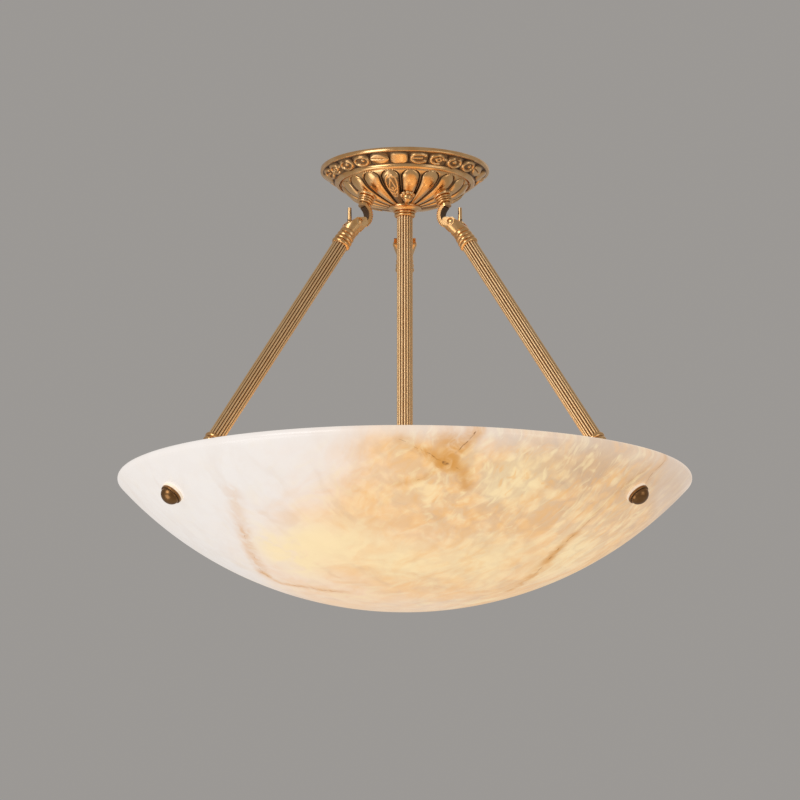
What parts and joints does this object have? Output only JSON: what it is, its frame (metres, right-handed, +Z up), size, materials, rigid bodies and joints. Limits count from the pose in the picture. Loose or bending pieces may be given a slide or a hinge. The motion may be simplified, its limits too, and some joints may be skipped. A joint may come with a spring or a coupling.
{
  "type": "bowl pendant lamp",
  "caption": "Shallow alabaster bowl hung on reeded brass rods from hooks under a lobed brass canopy, with a reeded stem that carries the lamps inside the bowl.",
  "frame": {"origin": "centre of the ceiling bracket's slots, on the ceiling plane", "axes": "+Z up into the ceiling, -Y the front of the lamp, +X to the right seen from the front"},
  "size_m": [0.4999, 0.5, 0.3939],
  "materials": {
    "antique_brass": "cast and drawn brass, antiqued: satin gold on the high places, dark brown in the hollows",
    "cap_brass": "turned brass, satin, darker than the rods",
    "alabaster": "polished translucent alabaster, milky with cream clouds and amber veins",
    "rubber": "pale soft gasket",
    "zinc_steel": "zinc-plated steel",
    "terminal_plastic": "moulded, matt",
    "porcelain": "glazed white porcelain",
    "lamp_metal": "plain rolled screw cap",
    "lamp_opal": "opal glass, lit warm"
  },
  "bodies": {
    "canopy": {"ceiling_bracket": "zinc_steel", "nipple": "antique_brass", "bracket_nuts": "zinc_steel", "terminal_block": "terminal_plastic", "canopy_rim": "antique_brass", "canopy_dome": "antique_brass", "canopy_boss": "antique_brass", "dome_rosette": "antique_brass", "hook_nuts": "zinc_steel", "stem_collar": "antique_brass", "stem_tube": "antique_brass", "lamp_cluster": "antique_brass", "hook_left": "antique_brass", "hook_right": "antique_brass", "hook_back": "antique_brass", "hook_collar_left": "antique_brass", "hook_collar_right": "antique_brass", "hook_collar_back": "antique_brass", "lampholder_front": "porcelain", "lamp_cap_front": "lamp_metal", "lamp_glass_front": "lamp_opal", "lampholder_right": "porcelain", "lamp_cap_right": "lamp_metal", "lamp_glass_right": "lamp_opal", "lampholder_left": "porcelain", "lamp_cap_left": "lamp_metal", "lamp_glass_left": "lamp_opal"},
    "rod_left": {"rod_tube_left": "antique_brass", "rod_upper_head_left": "antique_brass", "rod_lower_head_left": "antique_brass", "rod_upper_pin_left": "antique_brass", "rod_lower_pin_left": "antique_brass"},
    "rod_right": {"rod_tube_right": "antique_brass", "rod_upper_head_right": "antique_brass", "rod_lower_head_right": "antique_brass", "rod_upper_pin_right": "antique_brass", "rod_lower_pin_right": "antique_brass"},
    "rod_back": {"rod_tube_back": "antique_brass", "rod_upper_head_back": "antique_brass", "rod_lower_head_back": "antique_brass", "rod_upper_pin_back": "antique_brass", "rod_lower_pin_back": "antique_brass"},
    "bowl": {"bowl": "alabaster", "outer_gaskets": "rubber", "inner_gaskets": "rubber", "bowl_washers": "zinc_steel", "eye_nuts": "zinc_steel", "eye_bolt_left": "antique_brass", "eye_bolt_right": "antique_brass", "eye_bolt_back": "antique_brass", "cap_nut_left": "cap_brass", "cap_nut_right": "cap_brass", "cap_nut_back": "cap_brass"}
  },
  "joints": [
    {"name": "back_rod_swing", "type": "hinge", "parent": "canopy", "child": "rod_back", "pos_m": [0, 0.0512, -0.05626], "axis": [1, 0, 0], "range_deg": [-5, 5]},
    {"name": "bowl_pivot", "type": "hinge", "parent": "rod_back", "child": "bowl", "pos_m": [0, 0.1995, -0.28189], "axis": [1, 0, 0], "range_deg": [-1.3, 1.3]},
    {"name": "left_rod_swing", "type": "hinge", "parent": "canopy", "child": "rod_left", "pos_m": [-0.04434, -0.0256, -0.05626], "axis": [1, 0, 0], "range_deg": [-5, 5]},
    {"name": "right_rod_swing", "type": "hinge", "parent": "canopy", "child": "rod_right", "pos_m": [0.04434, -0.0256, -0.05626], "axis": [1, 0, 0], "range_deg": [-5, 5]}
  ],
  "couplings": [
    {"joint": "bowl_pivot", "follows": "back_rod_swing", "ratio": -0.25664},
    {"joint": "left_rod_swing", "follows": "back_rod_swing", "ratio": 1},
    {"joint": "right_rod_swing", "follows": "back_rod_swing", "ratio": 1}
  ]
}
